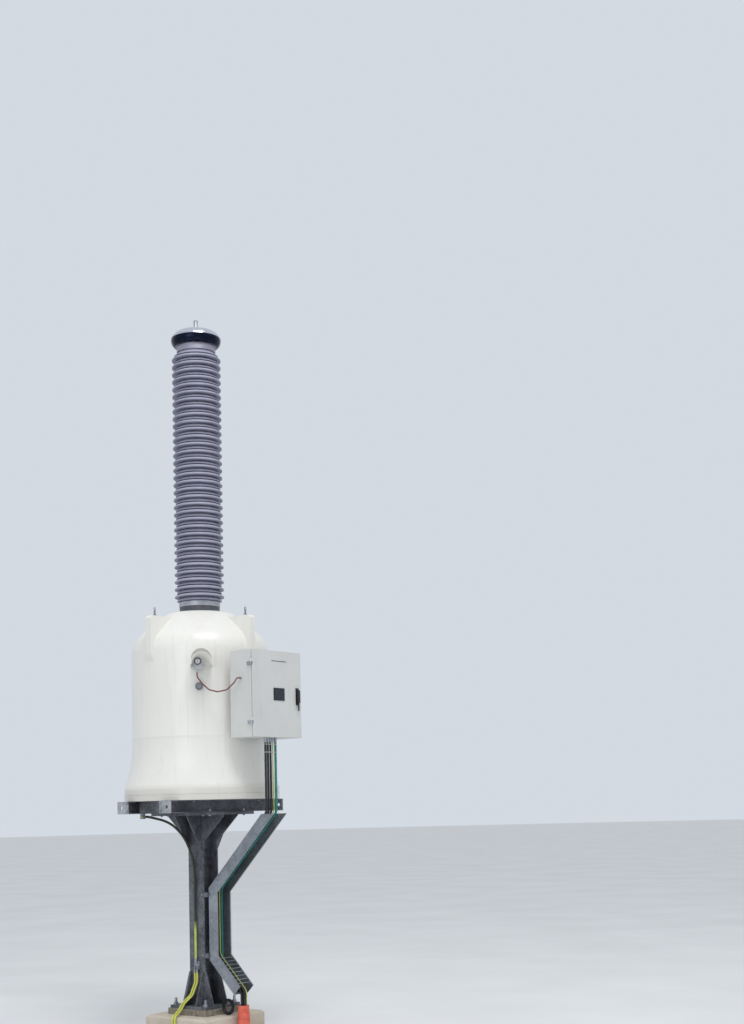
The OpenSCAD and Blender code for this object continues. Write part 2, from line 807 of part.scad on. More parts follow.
module black_cables() {
    feet = [[3, -28], [27, -14], [3, 0]];
    over = [0, cable_layer, 0];
    color("#17181c") {
        for (i = [0:2])
            cable(tray_route(black_cable_rows[i], feet[i], over[i]), black_cable_r,
                  [0, 1, 0], 90, 5);
        translate([coil_at[0], coil_at[1], plinth_h + coil_r + coil_cord_r]) rotate([90, 0, 0])
            rotate_extrude($fn = 48) translate([coil_r, 0])
            square([2 * coil_cord_r, coil_w], center = true);
    }
}

module teal_cable() {
    color("#1f7f7a")
        cable(tray_route(teal_cable_row, [3, 28]), teal_cable_r, [0, 1, 0], 90, 5);
}

module bonding_wire() {
    color("#9fb04a")
        cable(tray_route(bonding_wire_row, [27, 12], cable_layer), bonding_wire_r,
              [0, 1, 0], 90, 5, 8);
}

// Plate with an outline in the XZ plane, w wide along Y about the plane y
module upright_plate(outline, y, w) {
    translate([0, y, 0]) rotate([90, 0, 0]) linear_extrude(w, center = true) polygon(outline);
}

// Length of tray from a to b along its back and from d to c along its open side
module tray_length(a, b, c, d) {
    lip = 12;
    t = 3;
    f = t / tray_d;
    for (s = [-1, 1]) {
        upright_plate([a, b, c, d], s * (tray_w - t) / 2, t);
        upright_plate([d, c, c + (b - c) * f, d + (a - d) * f], s * (tray_w - lip) / 2, lip);
    }
    upright_plate([a, b, b + (c - b) * f, a + (d - a) * f], 0, tray_w);
}

// Corners of the tray's bends, on its back and on its open side
mitre = tray_d * tan(22.5);
upper_back = [tray_x, tray_upper_z];
upper_open = [tray_x + tray_d, tray_upper_z - mitre];
lower_back = [tray_x, tray_lower_z];
lower_open = [tray_x + tray_d, tray_lower_z + mitre];

module tray_slope() {
    top = upper_back + tray_slope_reach * [1, 1];
    color("#8d9299") tray_length(upper_back, top, top + [tray_d * sqrt(2), 0], upper_open);
}

module tray_riser() {
    color("#b3b9c2") tray_length(lower_back, upper_back, upper_open, lower_open);
}

module tray_foot() {
    end = lower_back + tray_foot_reach * [1, -1];
    color("#c3c8cf") tray_length(end, lower_back, lower_open, end + [1, 1] * tray_d / sqrt(2));
}

module tray_brackets() {
    strut = 41;
    overhang = 14;
    clamp = [26, 12, 28];
    clamp_y = (column_d + clamp[1]) / 2;
    color("#84898f") for (z = [tray_lower_z + 38, tray_upper_z - 61]) translate([0, 0, z]) {
        translate([column_w / 2, -column_d / 2 - overhang, -strut / 2])
            cube([tray_x - column_w / 2, column_d + 2 * overhang, strut]);
        for (s = [-1, 1])
            translate([column_w / 2 - clamp[0], s * clamp_y - clamp[1] / 2, -clamp[2] / 2])
            cube(clamp);
    }
}

module earth_cables() {
    color("#8f9c45") {
        cable(earth_upper_route, earth_upper_r, [1, 0, 0], 120, 4);
        for (s = [-0.5, 0.5])
            cable([for (p = earth_lower_route) p + [s * earth_pair_gap, 0, 0]],
                  earth_lower_r, [1, 0, 0], 60, 4);
    }
}

// Crimped end of an earth cable of radius r, with its bolted palm below the origin
module cable_end(r) {
    barrel_l = 24;
    base_l = 8;
    palm_l = 34;
    bolt_h = 12;
    translate([0, earth_face_y, 0]) difference() {
        translate([0, 0, -base_l]) cylinder(h = barrel_l + base_l, r = r + 3, $fn = 32);
        cylinder(h = barrel_l + cut, r = r, $fn = 32);
    }
    translate([-r - 2, -column_d / 2 - 2 * earth_plate_t, -palm_l])
        cube([2 * r + 4, earth_plate_t, palm_l]);
    translate([0, -column_d / 2 - earth_plate_t, -palm_l / 2 - base_l / 2])
        rotate([90, 0, 0]) cylinder(h = bolt_h, d = 17, $fn = 6);
}

module earth_clamps() {
    low = 545;
    high = 617;
    plate_w = 64;
    block = [44, 22, 46];
    color("#a7abb0") {
        translate([-plate_w / 2, -column_d / 2 - earth_plate_t, low])
            cube([plate_w, earth_plate_t, high - low]);
        translate([0, 0, earth_upper_end]) cable_end(earth_upper_r);
        for (s = [-0.5, 0.5]) translate([s * earth_pair_gap, 0, earth_lower_end])
            mirror([0, 0, 1]) cable_end(earth_lower_r);
        translate([earth_start[0] - block[0] / 2, earth_start[1] - block[1], head_z - block[2]])
            cube(block);
    }
}

module conduit() {
    wall = 5;
    joint_z = 170;
    groove_z = 116;
    groove_h = 16;
    groove_depth = 4;
    color("#e0604c") translate([conduit_x, conduit_y, 0]) difference() {
        union() {
            cylinder(h = joint_z, r = conduit_r);
            cylinder(h = conduit_top_z, r = conduit_r - wall);
        }
        translate([0, 0, -cut]) cylinder(h = conduit_top_z + 2 * cut, r = conduit_r - 2 * wall);
        translate([0, 0, groove_z]) difference() {
            cylinder(h = groove_h, r = conduit_r + cut);
            translate([0, 0, -cut])
                cylinder(h = groove_h + 2 * cut, r = conduit_r - groove_depth);
        }
    }
}

concrete_plinth();
grout_pad();
base_plate();
anchor_bolts();
support_column();
base_gussets();
head_gussets();
head_plate();
frame_beams();
frame_channels();
tank_base_plate();
tank_skirt();
tank_barrel();
tank_dome();
lifting_lugs();
eye_bolts();
insulator_foot();
insulator_sleeve();
insulator();
insulator_head();
top_cap();
terminal_stud();
gauge_visor();
density_gauge();
filling_valve();
gauge_lead();
box_standoffs();
box_body();
terminal_board();
box_door();
door_window();
handle_plate();
door_handle();
door_hinges();
cable_glands();
black_cables();
teal_cable();
bonding_wire();
tray_slope();
tray_riser();
tray_foot();
tray_brackets();
earth_cables();
earth_clamps();
conduit();
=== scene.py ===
"""Looks for a gas-insulated voltage transformer that stands on a steel column."""
import json
import math

import bmesh
import bpy
from mathutils import Matrix, Vector

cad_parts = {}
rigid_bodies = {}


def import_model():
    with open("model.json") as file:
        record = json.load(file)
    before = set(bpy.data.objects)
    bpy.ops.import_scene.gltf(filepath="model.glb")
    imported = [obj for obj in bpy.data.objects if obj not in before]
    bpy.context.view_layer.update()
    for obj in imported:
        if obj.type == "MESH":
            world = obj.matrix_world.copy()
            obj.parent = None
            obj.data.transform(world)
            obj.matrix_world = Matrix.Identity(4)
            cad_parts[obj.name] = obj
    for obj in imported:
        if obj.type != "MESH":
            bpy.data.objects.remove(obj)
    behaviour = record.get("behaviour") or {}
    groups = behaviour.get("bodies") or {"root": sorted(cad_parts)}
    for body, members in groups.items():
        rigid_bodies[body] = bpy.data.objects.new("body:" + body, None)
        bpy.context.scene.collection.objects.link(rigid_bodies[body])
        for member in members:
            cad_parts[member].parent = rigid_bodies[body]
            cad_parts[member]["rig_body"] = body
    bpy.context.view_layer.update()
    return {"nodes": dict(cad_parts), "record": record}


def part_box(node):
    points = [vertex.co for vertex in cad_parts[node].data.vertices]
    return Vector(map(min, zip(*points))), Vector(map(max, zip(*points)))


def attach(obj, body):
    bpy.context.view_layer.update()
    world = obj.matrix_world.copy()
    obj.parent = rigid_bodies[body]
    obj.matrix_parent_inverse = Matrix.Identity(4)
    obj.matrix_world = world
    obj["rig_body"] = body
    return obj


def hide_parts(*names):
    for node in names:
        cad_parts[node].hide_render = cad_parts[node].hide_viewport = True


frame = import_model()
nodes = frame["nodes"]
scene = bpy.context.scene

# ---------------------------------------------------------------- camera, light and floor


def place_camera():
    """Just above eye level, a little rolled, looking up at the tank from between -Y and +X."""
    right = Vector((0.789461, 0.613307, -0.024614))
    up = Vector((0.072886, -0.053851, 0.995885))
    back = right.cross(up)
    data = bpy.data.cameras.new("camera")
    data.sensor_width = 36.0
    data.lens = 50.685
    data.shift_y = 0.1641
    data.clip_end = 400.0
    camera = bpy.data.objects.new("camera", data)
    turn = Matrix((right, up, back)).transposed().to_4x4()
    camera.matrix_world = Matrix.Translation((9.3255, -9.4836, 1.962)) @ turn
    scene.collection.objects.link(camera)
    scene.camera = camera


def srgb(code):
    """Linear RGBA of an sRGB hex colour."""
    values = [int(code[i:i + 2], 16) / 255 for i in (1, 3, 5)]
    linear = [v / 12.92 if v <= 0.04045 else ((v + 0.055) / 1.055) ** 2.4 for v in values]
    return (*linear, 1.0)


def tones(*stops):
    """Ramp stops from positions and hex colours."""
    return [(position, srgb(code)) for position, code in stops]


def add(tree, kind, inputs=None, stops=None, out=0, **settings):
    """Output of a new node with its settings, its inputs linked or filled, and a ramp's stops."""
    node = tree.nodes.new("ShaderNode" + kind)
    for name, value in settings.items():
        setattr(node, name, value)
    for name, value in (inputs or {}).items():
        if isinstance(value, bpy.types.NodeSocket):
            tree.links.new(value, node.inputs[name])
        else:
            node.inputs[name].default_value = value
    if stops:
        ramp = node.color_ramp.elements
        while len(ramp) < len(stops):
            ramp.new(1.0)
        for element, (position, colour) in zip(ramp, stops):
            element.position = position
            element.color = colour
    return node.outputs[out] if len(node.outputs) else None


def place_lights():
    """High soft key a little to the right of the camera, with a pale sky as fill."""
    aim = Vector((0, 0, 3.2))
    for name, at, size, power in (("key", (5.5, -3.2, 13.5), 5.0, 600.0),
                                  ("fill", (4.0, -13.0, 5.0), 7.0, 200.0)):
        data = bpy.data.lights.new(name, "AREA")
        data.shape = "DISK"
        data.size = size
        data.energy = power
        lamp = bpy.data.objects.new(name, data)
        turn = (Vector(at) - aim).to_track_quat("Z", "Y").to_matrix().to_4x4()
        lamp.matrix_world = Matrix.Translation(at) @ turn
        scene.collection.objects.link(lamp)
    world = bpy.data.worlds.new("pale_sky")
    world.use_nodes = True
    tree = world.node_tree
    tree.nodes.clear()
    path = add(tree, "LightPath").node.outputs
    seen = add(tree, "Math", {0: path["Is Camera Ray"], 1: path["Is Glossy Ray"]},
               operation="ADD")
    seen = add(tree, "Math", {0: seen, 1: path["Is Transmission Ray"]}, operation="ADD",
               use_clamp=True)
    light = add(tree, "Background", {"Color": srgb("#e8ebef"), "Strength": 0.85})
    view = add(tree, "Background", {"Color": srgb("#d3dae2"), "Strength": 1.0})
    add(tree, "OutputWorld", {"Surface": add(tree, "MixShader", {0: seen, 1: light, 2: view})})
    scene.world = world


def place_floor():
    """Round studio floor at ground level, which belongs to the stage."""
    bm = bmesh.new()
    bmesh.ops.create_circle(bm, cap_ends=True, segments=96, radius=120.0)
    mesh = bpy.data.meshes.new("floor")
    bm.to_mesh(mesh)
    bm.free()
    mesh.materials.append(floor_paint())
    floor = bpy.data.objects.new("floor", mesh)
    scene.collection.objects.link(floor)


def new_material(name):
    """An empty material, its node tree, its shader and the object's own coordinates."""
    material = bpy.data.materials.new(name)
    material.use_nodes = True
    tree = material.node_tree
    return (material, tree, tree.nodes["Principled BSDF"],
            add(tree, "TexCoord", out="Object"))


def dress(tree, shader, **values):
    """Link or set the shader's own sockets, named with _ for a space."""
    for name, value in values.items():
        socket = shader.inputs[name.replace("_", " ")]
        if isinstance(value, bpy.types.NodeSocket):
            tree.links.new(value, socket)
        else:
            socket.default_value = value


def floor_paint():
    """Matt studio paint: pale grey, with a faint unevenness."""
    material, tree, shader, place = new_material("matt_floor_paint")
    patches = add(tree, "TexNoise", {"Vector": place, "Scale": 0.7, "Detail": 3.0})
    colour = add(tree, "ValToRGB", {"Fac": patches}, tones((0.3, "#e0e2e4"), (0.7, "#e7e9eb")))
    dress(tree, shader, Base_Color=colour, Roughness=0.9)
    return material


# ---------------------------------------------------------------- materials


def height_share(tree, place, low, high):
    """0 at the height low and 1 at the height high, in metres."""
    height = add(tree, "SeparateXYZ", {0: place}, out="Z")
    return add(tree, "MapRange", {"Value": height, "From Min": low, "From Max": high})


def upward(tree, low, high, most):
    """From 0 on upright faces to most on faces that look up."""
    normal = add(tree, "NewGeometry", out="Normal")
    return add(tree, "MapRange", {"Value": add(tree, "SeparateXYZ", {0: normal}, out="Z"),
                                  "From Min": low, "From Max": high, "To Max": most})


def concrete():
    """Cast concrete: sandy and pale, with pores of a few mm and reddish dust at the foot."""
    material, tree, shader, place = new_material("cast_concrete")
    patches = add(tree, "TexNoise", {"Vector": place, "Scale": 4.0, "Detail": 6.0})
    # Sand of 1 to 2 mm is drawn at 7 mm, so that it shows
    sand = add(tree, "TexNoise", {"Vector": place, "Scale": 140.0, "Detail": 3.0})
    pores = add(tree, "TexVoronoi", {"Vector": place, "Scale": 75.0})
    colour = add(tree, "ValToRGB", {"Fac": patches},
                 tones((0.25, "#b9ae9f"), (0.55, "#cdc3b4"), (0.8, "#d9d0c2")))
    sandy = add(tree, "MapRange", {"Value": sand, "From Min": 0.35, "From Max": 0.75,
                                   "To Max": 0.35})
    colour = add(tree, "Mix", {0: sandy, 6: colour, 7: srgb("#a2988a")}, out=2,
                 data_type="RGBA")
    holes = add(tree, "MapRange", {"Value": pores, "From Min": 0.16, "From Max": 0.06,
                                   "To Max": 0.75})
    colour = add(tree, "Mix", {0: holes, 6: colour, 7: srgb("#6d665c")}, out=2,
                 data_type="RGBA")
    dust = add(tree, "Math", {0: height_share(tree, place, 0.075, 0.0), 1: patches},
               operation="MULTIPLY", use_clamp=True)
    colour = add(tree, "Mix", {0: dust, 6: colour, 7: srgb("#a87f66")}, out=2, data_type="RGBA")
    relief = add(tree, "Math", {0: sand, 1: holes}, operation="SUBTRACT")
    dress(tree, shader, Base_Color=colour, Roughness=0.9,
          Normal=add(tree, "Bump", {"Height": relief, "Distance": 0.0012}))
    return material


def grout():
    """Site-mixed mortar: coarse, grey-brown and lumpy, with lumps of 10 to 30 mm."""
    material, tree, shader, place = new_material("grey_mortar")
    lumps = add(tree, "TexNoise", {"Vector": place, "Scale": 30.0, "Detail": 6.0})
    grit = add(tree, "TexNoise", {"Vector": place, "Scale": 90.0, "Detail": 6.0})
    colour = add(tree, "ValToRGB", {"Fac": lumps},
                 tones((0.3, "#6b655a"), (0.55, "#8d8679"), (0.8, "#a9a294")))
    dress(tree, shader, Base_Color=colour, Roughness=0.93,
          Normal=add(tree, "Bump", {"Height": grit, "Distance": 0.005}))
    return material


def zinc(name, dark, mid, light, metallic, low_rough, high_rough, spangle=55.0):
    """Zinc coat: crystals of 1 / spangle metres, a dull patina in patches, and drip marks."""
    material, tree, shader, place = new_material(name)
    crystals = add(tree, "TexVoronoi", {"Vector": place, "Scale": spangle}, out="Color")
    tone = add(tree, "SeparateColor", {0: crystals})
    patina = add(tree, "TexNoise", {"Vector": place, "Scale": 5.0, "Detail": 6.0})
    drawn = add(tree, "Mapping", {"Vector": place, "Scale": (1.0, 1.0, 0.12)})
    drips = add(tree, "TexNoise", {"Vector": drawn, "Scale": 26.0, "Detail": 3.0})
    blend = add(tree, "Math", {0: tone, 1: 0.22, 2: patina}, operation="MULTIPLY_ADD")
    colour = add(tree, "ValToRGB", {"Fac": blend}, tones((0.42, dark), (0.6, mid), (0.8, light)))
    streaks = add(tree, "MapRange", {"Value": drips, "From Min": 0.55, "From Max": 0.75,
                                     "To Max": 0.4})
    colour = add(tree, "Mix", {0: streaks, 6: colour, 7: srgb(dark)}, out=2, data_type="RGBA")
    rough = add(tree, "MapRange", {"Value": blend, "From Min": 0.4, "From Max": 0.8,
                                   "To Min": low_rough, "To Max": high_rough})
    skin = add(tree, "TexNoise", {"Vector": place, "Scale": 160.0, "Detail": 3.0})
    dress(tree, shader, Base_Color=colour, Roughness=rough, Metallic=metallic,
          Normal=add(tree, "Bump", {"Height": skin, "Distance": 0.0003}))
    return material


def tank_paint():
    """Gloss polyurethane enamel: off-white, with orange peel, faint rain marks and low dust."""
    material, tree, shader, place = new_material("off_white_gloss_enamel")
    patches = add(tree, "TexNoise", {"Vector": place, "Scale": 1.4, "Detail": 3.0})
    drawn = add(tree, "Mapping", {"Vector": place, "Scale": (1.0, 1.0, 0.045)})
    rain = add(tree, "TexNoise", {"Vector": drawn, "Scale": 34.0, "Detail": 4.0})
    colour = add(tree, "ValToRGB", {"Fac": patches}, tones((0.3, "#e4e3dd"), (0.7, "#eae9e3")))
    marks = add(tree, "MapRange", {"Value": rain, "From Min": 0.56, "From Max": 0.82,
                                   "To Max": 0.3})
    colour = add(tree, "Mix", {0: marks, 6: colour, 7: srgb("#c4c0b4")}, out=2,
                 data_type="RGBA")
    dust = add(tree, "Math", {0: height_share(tree, place, 2.20, 2.15), 1: 0.45},
               operation="MULTIPLY")
    colour = add(tree, "Mix", {0: dust, 6: colour, 7: srgb("#bdb8ae")}, out=2,
                 data_type="RGBA")
    rough = add(tree, "MapRange", {"Value": rain, "To Min": 0.24, "To Max": 0.42})
    # Orange peel of 1 to 2 mm is drawn at 5 mm, so that it shows
    peel = add(tree, "TexNoise", {"Vector": place, "Scale": 210.0, "Detail": 2.0})
    dress(tree, shader, Base_Color=colour, Roughness=rough, IOR=1.5, Coat_Weight=0.25,
          Coat_Roughness=0.12, Normal=add(tree, "Bump", {"Height": peel, "Distance": 0.0002}))
    return material


def box_paint():
    """Powder coating: light grey and fine-textured, with dust on top and rain marks below."""
    material, tree, shader, place = new_material("light_grey_powder_coat")
    patches = add(tree, "TexNoise", {"Vector": place, "Scale": 3.0, "Detail": 3.0})
    drawn = add(tree, "Mapping", {"Vector": place, "Scale": (1.0, 1.0, 0.05)})
    rain = add(tree, "TexNoise", {"Vector": drawn, "Scale": 60.0, "Detail": 4.0})
    colour = add(tree, "ValToRGB", {"Fac": patches}, tones((0.3, "#cccdcb"), (0.7, "#d3d4d2")))
    marks = add(tree, "MapRange", {"Value": rain, "From Min": 0.58, "From Max": 0.85,
                                   "To Max": 0.35})
    colour = add(tree, "Mix", {0: marks, 6: colour, 7: srgb("#a9a8a2")}, out=2,
                 data_type="RGBA")
    colour = add(tree, "Mix", {0: upward(tree, 0.2, 0.9, 0.3), 6: colour, 7: srgb("#d9d5ca")},
                 out=2, data_type="RGBA")
    texture = add(tree, "TexNoise", {"Vector": place, "Scale": 420.0, "Detail": 2.0})
    dress(tree, shader, Base_Color=colour, Roughness=0.42, IOR=1.5,
          Normal=add(tree, "Bump", {"Height": texture, "Distance": 0.00025}))
    return material


def flange_paint():
    """Satin enamel on cast iron: dark grey, dusty on its upper faces."""
    material, tree, shader, place = new_material("dark_grey_enamel")
    patches = add(tree, "TexNoise", {"Vector": place, "Scale": 22.0, "Detail": 5.0})
    colour = add(tree, "ValToRGB", {"Fac": patches}, tones((0.3, "#3d3f47"), (0.75, "#55575f")))
    colour = add(tree, "Mix", {0: upward(tree, 0.2, 0.9, 0.5), 6: colour, 7: srgb("#8a8882")},
                 out=2, data_type="RGBA")
    skin = add(tree, "TexNoise", {"Vector": place, "Scale": 130.0, "Detail": 3.0})
    dress(tree, shader, Base_Color=colour, Roughness=0.45,
          Normal=add(tree, "Bump", {"Height": skin, "Distance": 0.0004}))
    return material


def cast_aluminium():
    """Machined aluminium casting: pale grey, with turning rings and a dull skin."""
    material, tree, shader, place = new_material("turned_aluminium_casting")
    # Turning marks of 0.3 mm are drawn at 3.5 mm, so that they show
    rings = add(tree, "TexWave", {"Vector": place, "Scale": 90.0, "Distortion": 0.3}, out="Fac",
                bands_direction="Z")
    skin = add(tree, "TexNoise", {"Vector": place, "Scale": 14.0, "Detail": 5.0})
    colour = add(tree, "ValToRGB", {"Fac": skin}, tones((0.3, "#9b9ea6"), (0.75, "#b9bcc3")))
    dress(tree, shader, Base_Color=colour, Metallic=0.75, Roughness=0.42,
          Normal=add(tree, "Bump", {"Height": rings, "Distance": 0.0001}))
    return material


def silicone_rubber():
    """Moulded silicone rubber: blue-grey and slightly glossy, with dust on top of the sheds."""
    material, tree, shader, place = new_material("blue_grey_silicone_rubber")
    patches = add(tree, "TexNoise", {"Vector": place, "Scale": 9.0, "Detail": 5.0})
    colour = add(tree, "ValToRGB", {"Fac": patches}, tones((0.3, "#8a8a9d"), (0.7, "#9a9aad")))
    colour = add(tree, "Mix", {0: upward(tree, 0.1, 0.8, 0.55), 6: colour, 7: srgb("#b4b4c2")},
                 out=2, data_type="RGBA")
    skin = add(tree, "TexNoise", {"Vector": place, "Scale": 300.0, "Detail": 2.0})
    dress(tree, shader, Base_Color=colour, Roughness=0.44, IOR=1.41,
          Normal=add(tree, "Bump", {"Height": skin, "Distance": 0.0002}))
    return material


def cap_metal():
    """Spun aluminium: polished on the lid, with a painted reflection below it that is near black,
    and a dull ring.
    """
    material, tree, shader, place = new_material("polished_spun_aluminium")
    scuffs = add(tree, "TexNoise", {"Vector": place, "Scale": 40.0, "Detail": 4.0})
    bright = add(tree, "ValToRGB", {"Fac": scuffs}, tones((0.3, "#c3c6cf"), (0.75, "#e2e4ea")))
    # Painted reflection: below the lid the metal is coloured near black, for the dark ground it
    # reflects
    dark = add(tree, "ValToRGB", {"Fac": scuffs}, tones((0.3, "#171b2a"), (0.75, "#272d40")))
    colour = add(tree, "Mix", {0: height_share(tree, place, 6.362, 6.369), 6: dark, 7: bright},
                 out=2, data_type="RGBA")
    ring = height_share(tree, place, 6.288, 6.286)
    colour = add(tree, "Mix", {0: ring, 6: colour, 7: srgb("#aaa8b5")}, out=2,
                 data_type="RGBA")
    shine = add(tree, "MapRange", {"Value": scuffs, "To Min": 0.14, "To Max": 0.3})
    rough = add(tree, "Math", {0: ring, 1: 0.3, 2: shine}, operation="MULTIPLY_ADD")
    # Spinning marks of 0.5 mm are drawn at 4.5 mm, so that they show
    rings = add(tree, "TexWave", {"Vector": place, "Scale": 70.0}, out="Fac",
                bands_direction="Z")
    dress(tree, shader, Base_Color=colour, Metallic=1.0, Roughness=rough,
          Normal=add(tree, "Bump", {"Height": rings, "Distance": 0.00008}))
    return material


def moulded(name, dark, light, rough):
    """Moulded or extruded plastic or enamel: even colour, a fine grain and a soft shine."""
    material, tree, shader, place = new_material(name)
    patches = add(tree, "TexNoise", {"Vector": place, "Scale": 20.0, "Detail": 4.0})
    grain = add(tree, "TexNoise", {"Vector": place, "Scale": 120.0, "Detail": 3.0})
    colour = add(tree, "ValToRGB", {"Fac": patches}, tones((0.3, dark), (0.75, light)))
    dress(tree, shader, Base_Color=colour, Roughness=rough, IOR=1.5,
          Normal=add(tree, "Bump", {"Height": grain, "Distance": 0.0002}))
    return material


def earth_sheath():
    """Green and yellow PVC sheath with painted shade: near black above, under the tank, and its lit
    pale green near the ground.
    """
    lit_below, shaded_above = 0.90, 0.98
    material, tree, shader, place = new_material("green_yellow_pvc_painted_shade")
    patches = add(tree, "TexNoise", {"Vector": place, "Scale": 20.0, "Detail": 4.0})
    dark = add(tree, "ValToRGB", {"Fac": patches}, tones((0.3, "#262a22"), (0.75, "#3a4030")))
    pale = add(tree, "ValToRGB", {"Fac": patches}, tones((0.3, "#b3bd60"), (0.75, "#c9d370")))
    # Painted shade: above about 0.95 m the sheath is coloured near black, for the tank's shadow;
    # below it keeps its lit pale green
    share = height_share(tree, place, lit_below, shaded_above)
    colour = add(tree, "Mix", {0: share, 6: pale, 7: dark}, out=2, data_type="RGBA")
    dress(tree, shader, Base_Color=colour, Roughness=0.55, IOR=1.5)
    return material


def conduit_plastic():
    """Orange-red polyethylene pipe: bleached by the sun above and dusty at the ground."""
    material, tree, shader, place = new_material("orange_polyethylene")
    patches = add(tree, "TexNoise", {"Vector": place, "Scale": 18.0, "Detail": 5.0})
    colour = add(tree, "ValToRGB", {"Fac": patches}, tones((0.3, "#c9503e"), (0.7, "#e8725c")))
    dust = add(tree, "Math", {0: height_share(tree, place, 0.07, 0.0), 1: 0.7},
               operation="MULTIPLY")
    colour = add(tree, "Mix", {0: dust, 6: colour, 7: srgb("#a8826c")}, out=2,
                 data_type="RGBA")
    skin = add(tree, "TexNoise", {"Vector": place, "Scale": 70.0, "Detail": 3.0})
    dress(tree, shader, Base_Color=colour, Roughness=0.5, IOR=1.5,
          Normal=add(tree, "Bump", {"Height": skin, "Distance": 0.0006}))
    return material


def tinted_pane(name, dark, dusty):
    """Tinted acrylic pane: near black, glossy, with a little dust."""
    material, tree, shader, place = new_material(name)
    dust = add(tree, "TexNoise", {"Vector": place, "Scale": 60.0, "Detail": 5.0})
    colour = add(tree, "ValToRGB", {"Fac": dust}, tones((0.35, dark), (0.8, dusty)))
    rough = add(tree, "MapRange", {"Value": dust, "To Min": 0.06, "To Max": 0.2})
    dress(tree, shader, Base_Color=colour, Roughness=rough, IOR=1.49)
    return material


MATERIALS = {
    "concrete": concrete(),
    "grout": grout(),
    "galvanised_steel": zinc("weathered_galvanised_steel", "#4a4d53", "#64676d", "#7d8087",
                             0.45, 0.5, 0.68),
    "bright_zinc": zinc("zinc_plated_steel", "#85898f", "#a3a7ad", "#c2c6cb", 0.85, 0.3, 0.45,
                        160.0),
    "tray_zinc": zinc("bright_galvanised_sheet", "#7f848b", "#8d9299", "#a0a6ad", 0.7, 0.32,
                      0.5),
    "tank_paint": tank_paint(),
    "flange_paint": flange_paint(),
    "sleeve_metal": cast_aluminium(),
    "silicone": silicone_rubber(),
    "head_metal": cap_metal(),
    "gauge_case": moulded("light_grey_gauge_enamel", "#b9bdc2", "#d0d4d8", 0.38),
    "valve_metal": zinc("dull_steel", "#74787f", "#888c92", "#9a9ea4", 0.5, 0.35, 0.5, 120.0),
    "lead_sheath": moulded("brown_cable_sheath", "#6e4038", "#8a5348", 0.55),
    "box_paint": box_paint(),
    "board_zinc": zinc("bright_zinc_board", "#9ea2a4", "#b9bdbe", "#d2d6d7", 0.8, 0.3, 0.42,
                       90.0),
    "dark_pane": tinted_pane("black_acrylic", "#0d1016", "#1f242c"),
    "handle_black": moulded("black_glass_filled_nylon", "#121418", "#24272c", 0.42),
    "black_sheath": moulded("black_cable_sheath", "#101116", "#24252b", 0.48),
    "teal_sheath": moulded("teal_cable_sheath", "#176a66", "#2a8c86", 0.5),
    "green_yellow_sheath": moulded("green_cable_sheath", "#5f6e2a", "#7d8a38", 0.5),
    "conduit_plastic": conduit_plastic(),
    "earth_sheath": earth_sheath(),
    # Painted light: a lighter copy of the galvanised zinc for the beam ends, as if sunlit
    "sunlit_end_zinc": zinc("galvanised_plate_painted_sunlit", "#8a8e94", "#a2a6ac", "#b6bac0", 0.45, 0.4,
                          0.55),
    "yellow_stripe": moulded("yellow_cable_sheath", "#c3c455", "#d8d869", 0.5),
    "blue_pane": tinted_pane("blue_tinted_acrylic", "#161c26", "#2a3340"),
    "green_seal": moulded("dark_green_rubber_seal", "#1c3734", "#2b4a46", 0.6),
    "dial_white": moulded("white_dial_enamel", "#dfe1e0", "#ededeb", 0.35),
    "tie_nylon": moulded("natural_nylon", "#b4b3ab", "#cbcac2", 0.5),
    "yellow_zinc": zinc("yellow_passivated_zinc", "#8d7a3a", "#b39b50", "#cdb873", 0.8, 0.35,
                        0.5, 160.0),
}
SLOT_OF = {part["node"]: part["material_slot"] for part in frame["record"]["subparts"]}

# ---------------------------------------------------------------- shapes


def finish_piece(name, bm, slots, body, replaces=(), flat=False, slot=None):
    """Turn a bmesh into a piece that rides on body, with the materials of its slots in order.

    The argument slot is not used.
    """
    mesh = bpy.data.meshes.new(name)
    bm.to_mesh(mesh)
    bm.free()
    for look in slots:
        mesh.materials.append(MATERIALS[look])
    mesh.shade_smooth()
    mesh.set_sharp_from_angle(angle=math.radians(38))
    piece = bpy.data.objects.new(name, mesh)
    scene.collection.objects.link(piece)
    if flat:
        # Large faces keep one shade up to their rounded edges
        piece.modifiers.new("even_faces", "WEIGHTED_NORMAL").keep_sharp = True
    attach(piece, body)
    slot = slot or slots[0]
    if replaces:
        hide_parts(*replaces)


def spun(profile, steps):
    """Surface of revolution about Z from (radius, height) points."""
    bm = bmesh.new()
    made = [bm.verts.new((radius, 0.0, height)) for radius, height in profile]
    edges = [bm.edges.new(pair) for pair in zip(made, made[1:])]
    bmesh.ops.spin(bm, geom=made + edges, cent=(0, 0, 0), axis=(0, 0, 1),
                   angle=2 * math.pi, steps=steps, use_merge=True)
    bmesh.ops.remove_doubles(bm, verts=bm.verts[:], dist=1e-5)
    bmesh.ops.recalc_face_normals(bm, faces=bm.faces[:])
    return bm


# Faces of the beams beyond this distance along Y belong to their end plates
BEAM_END_Y = 0.7195


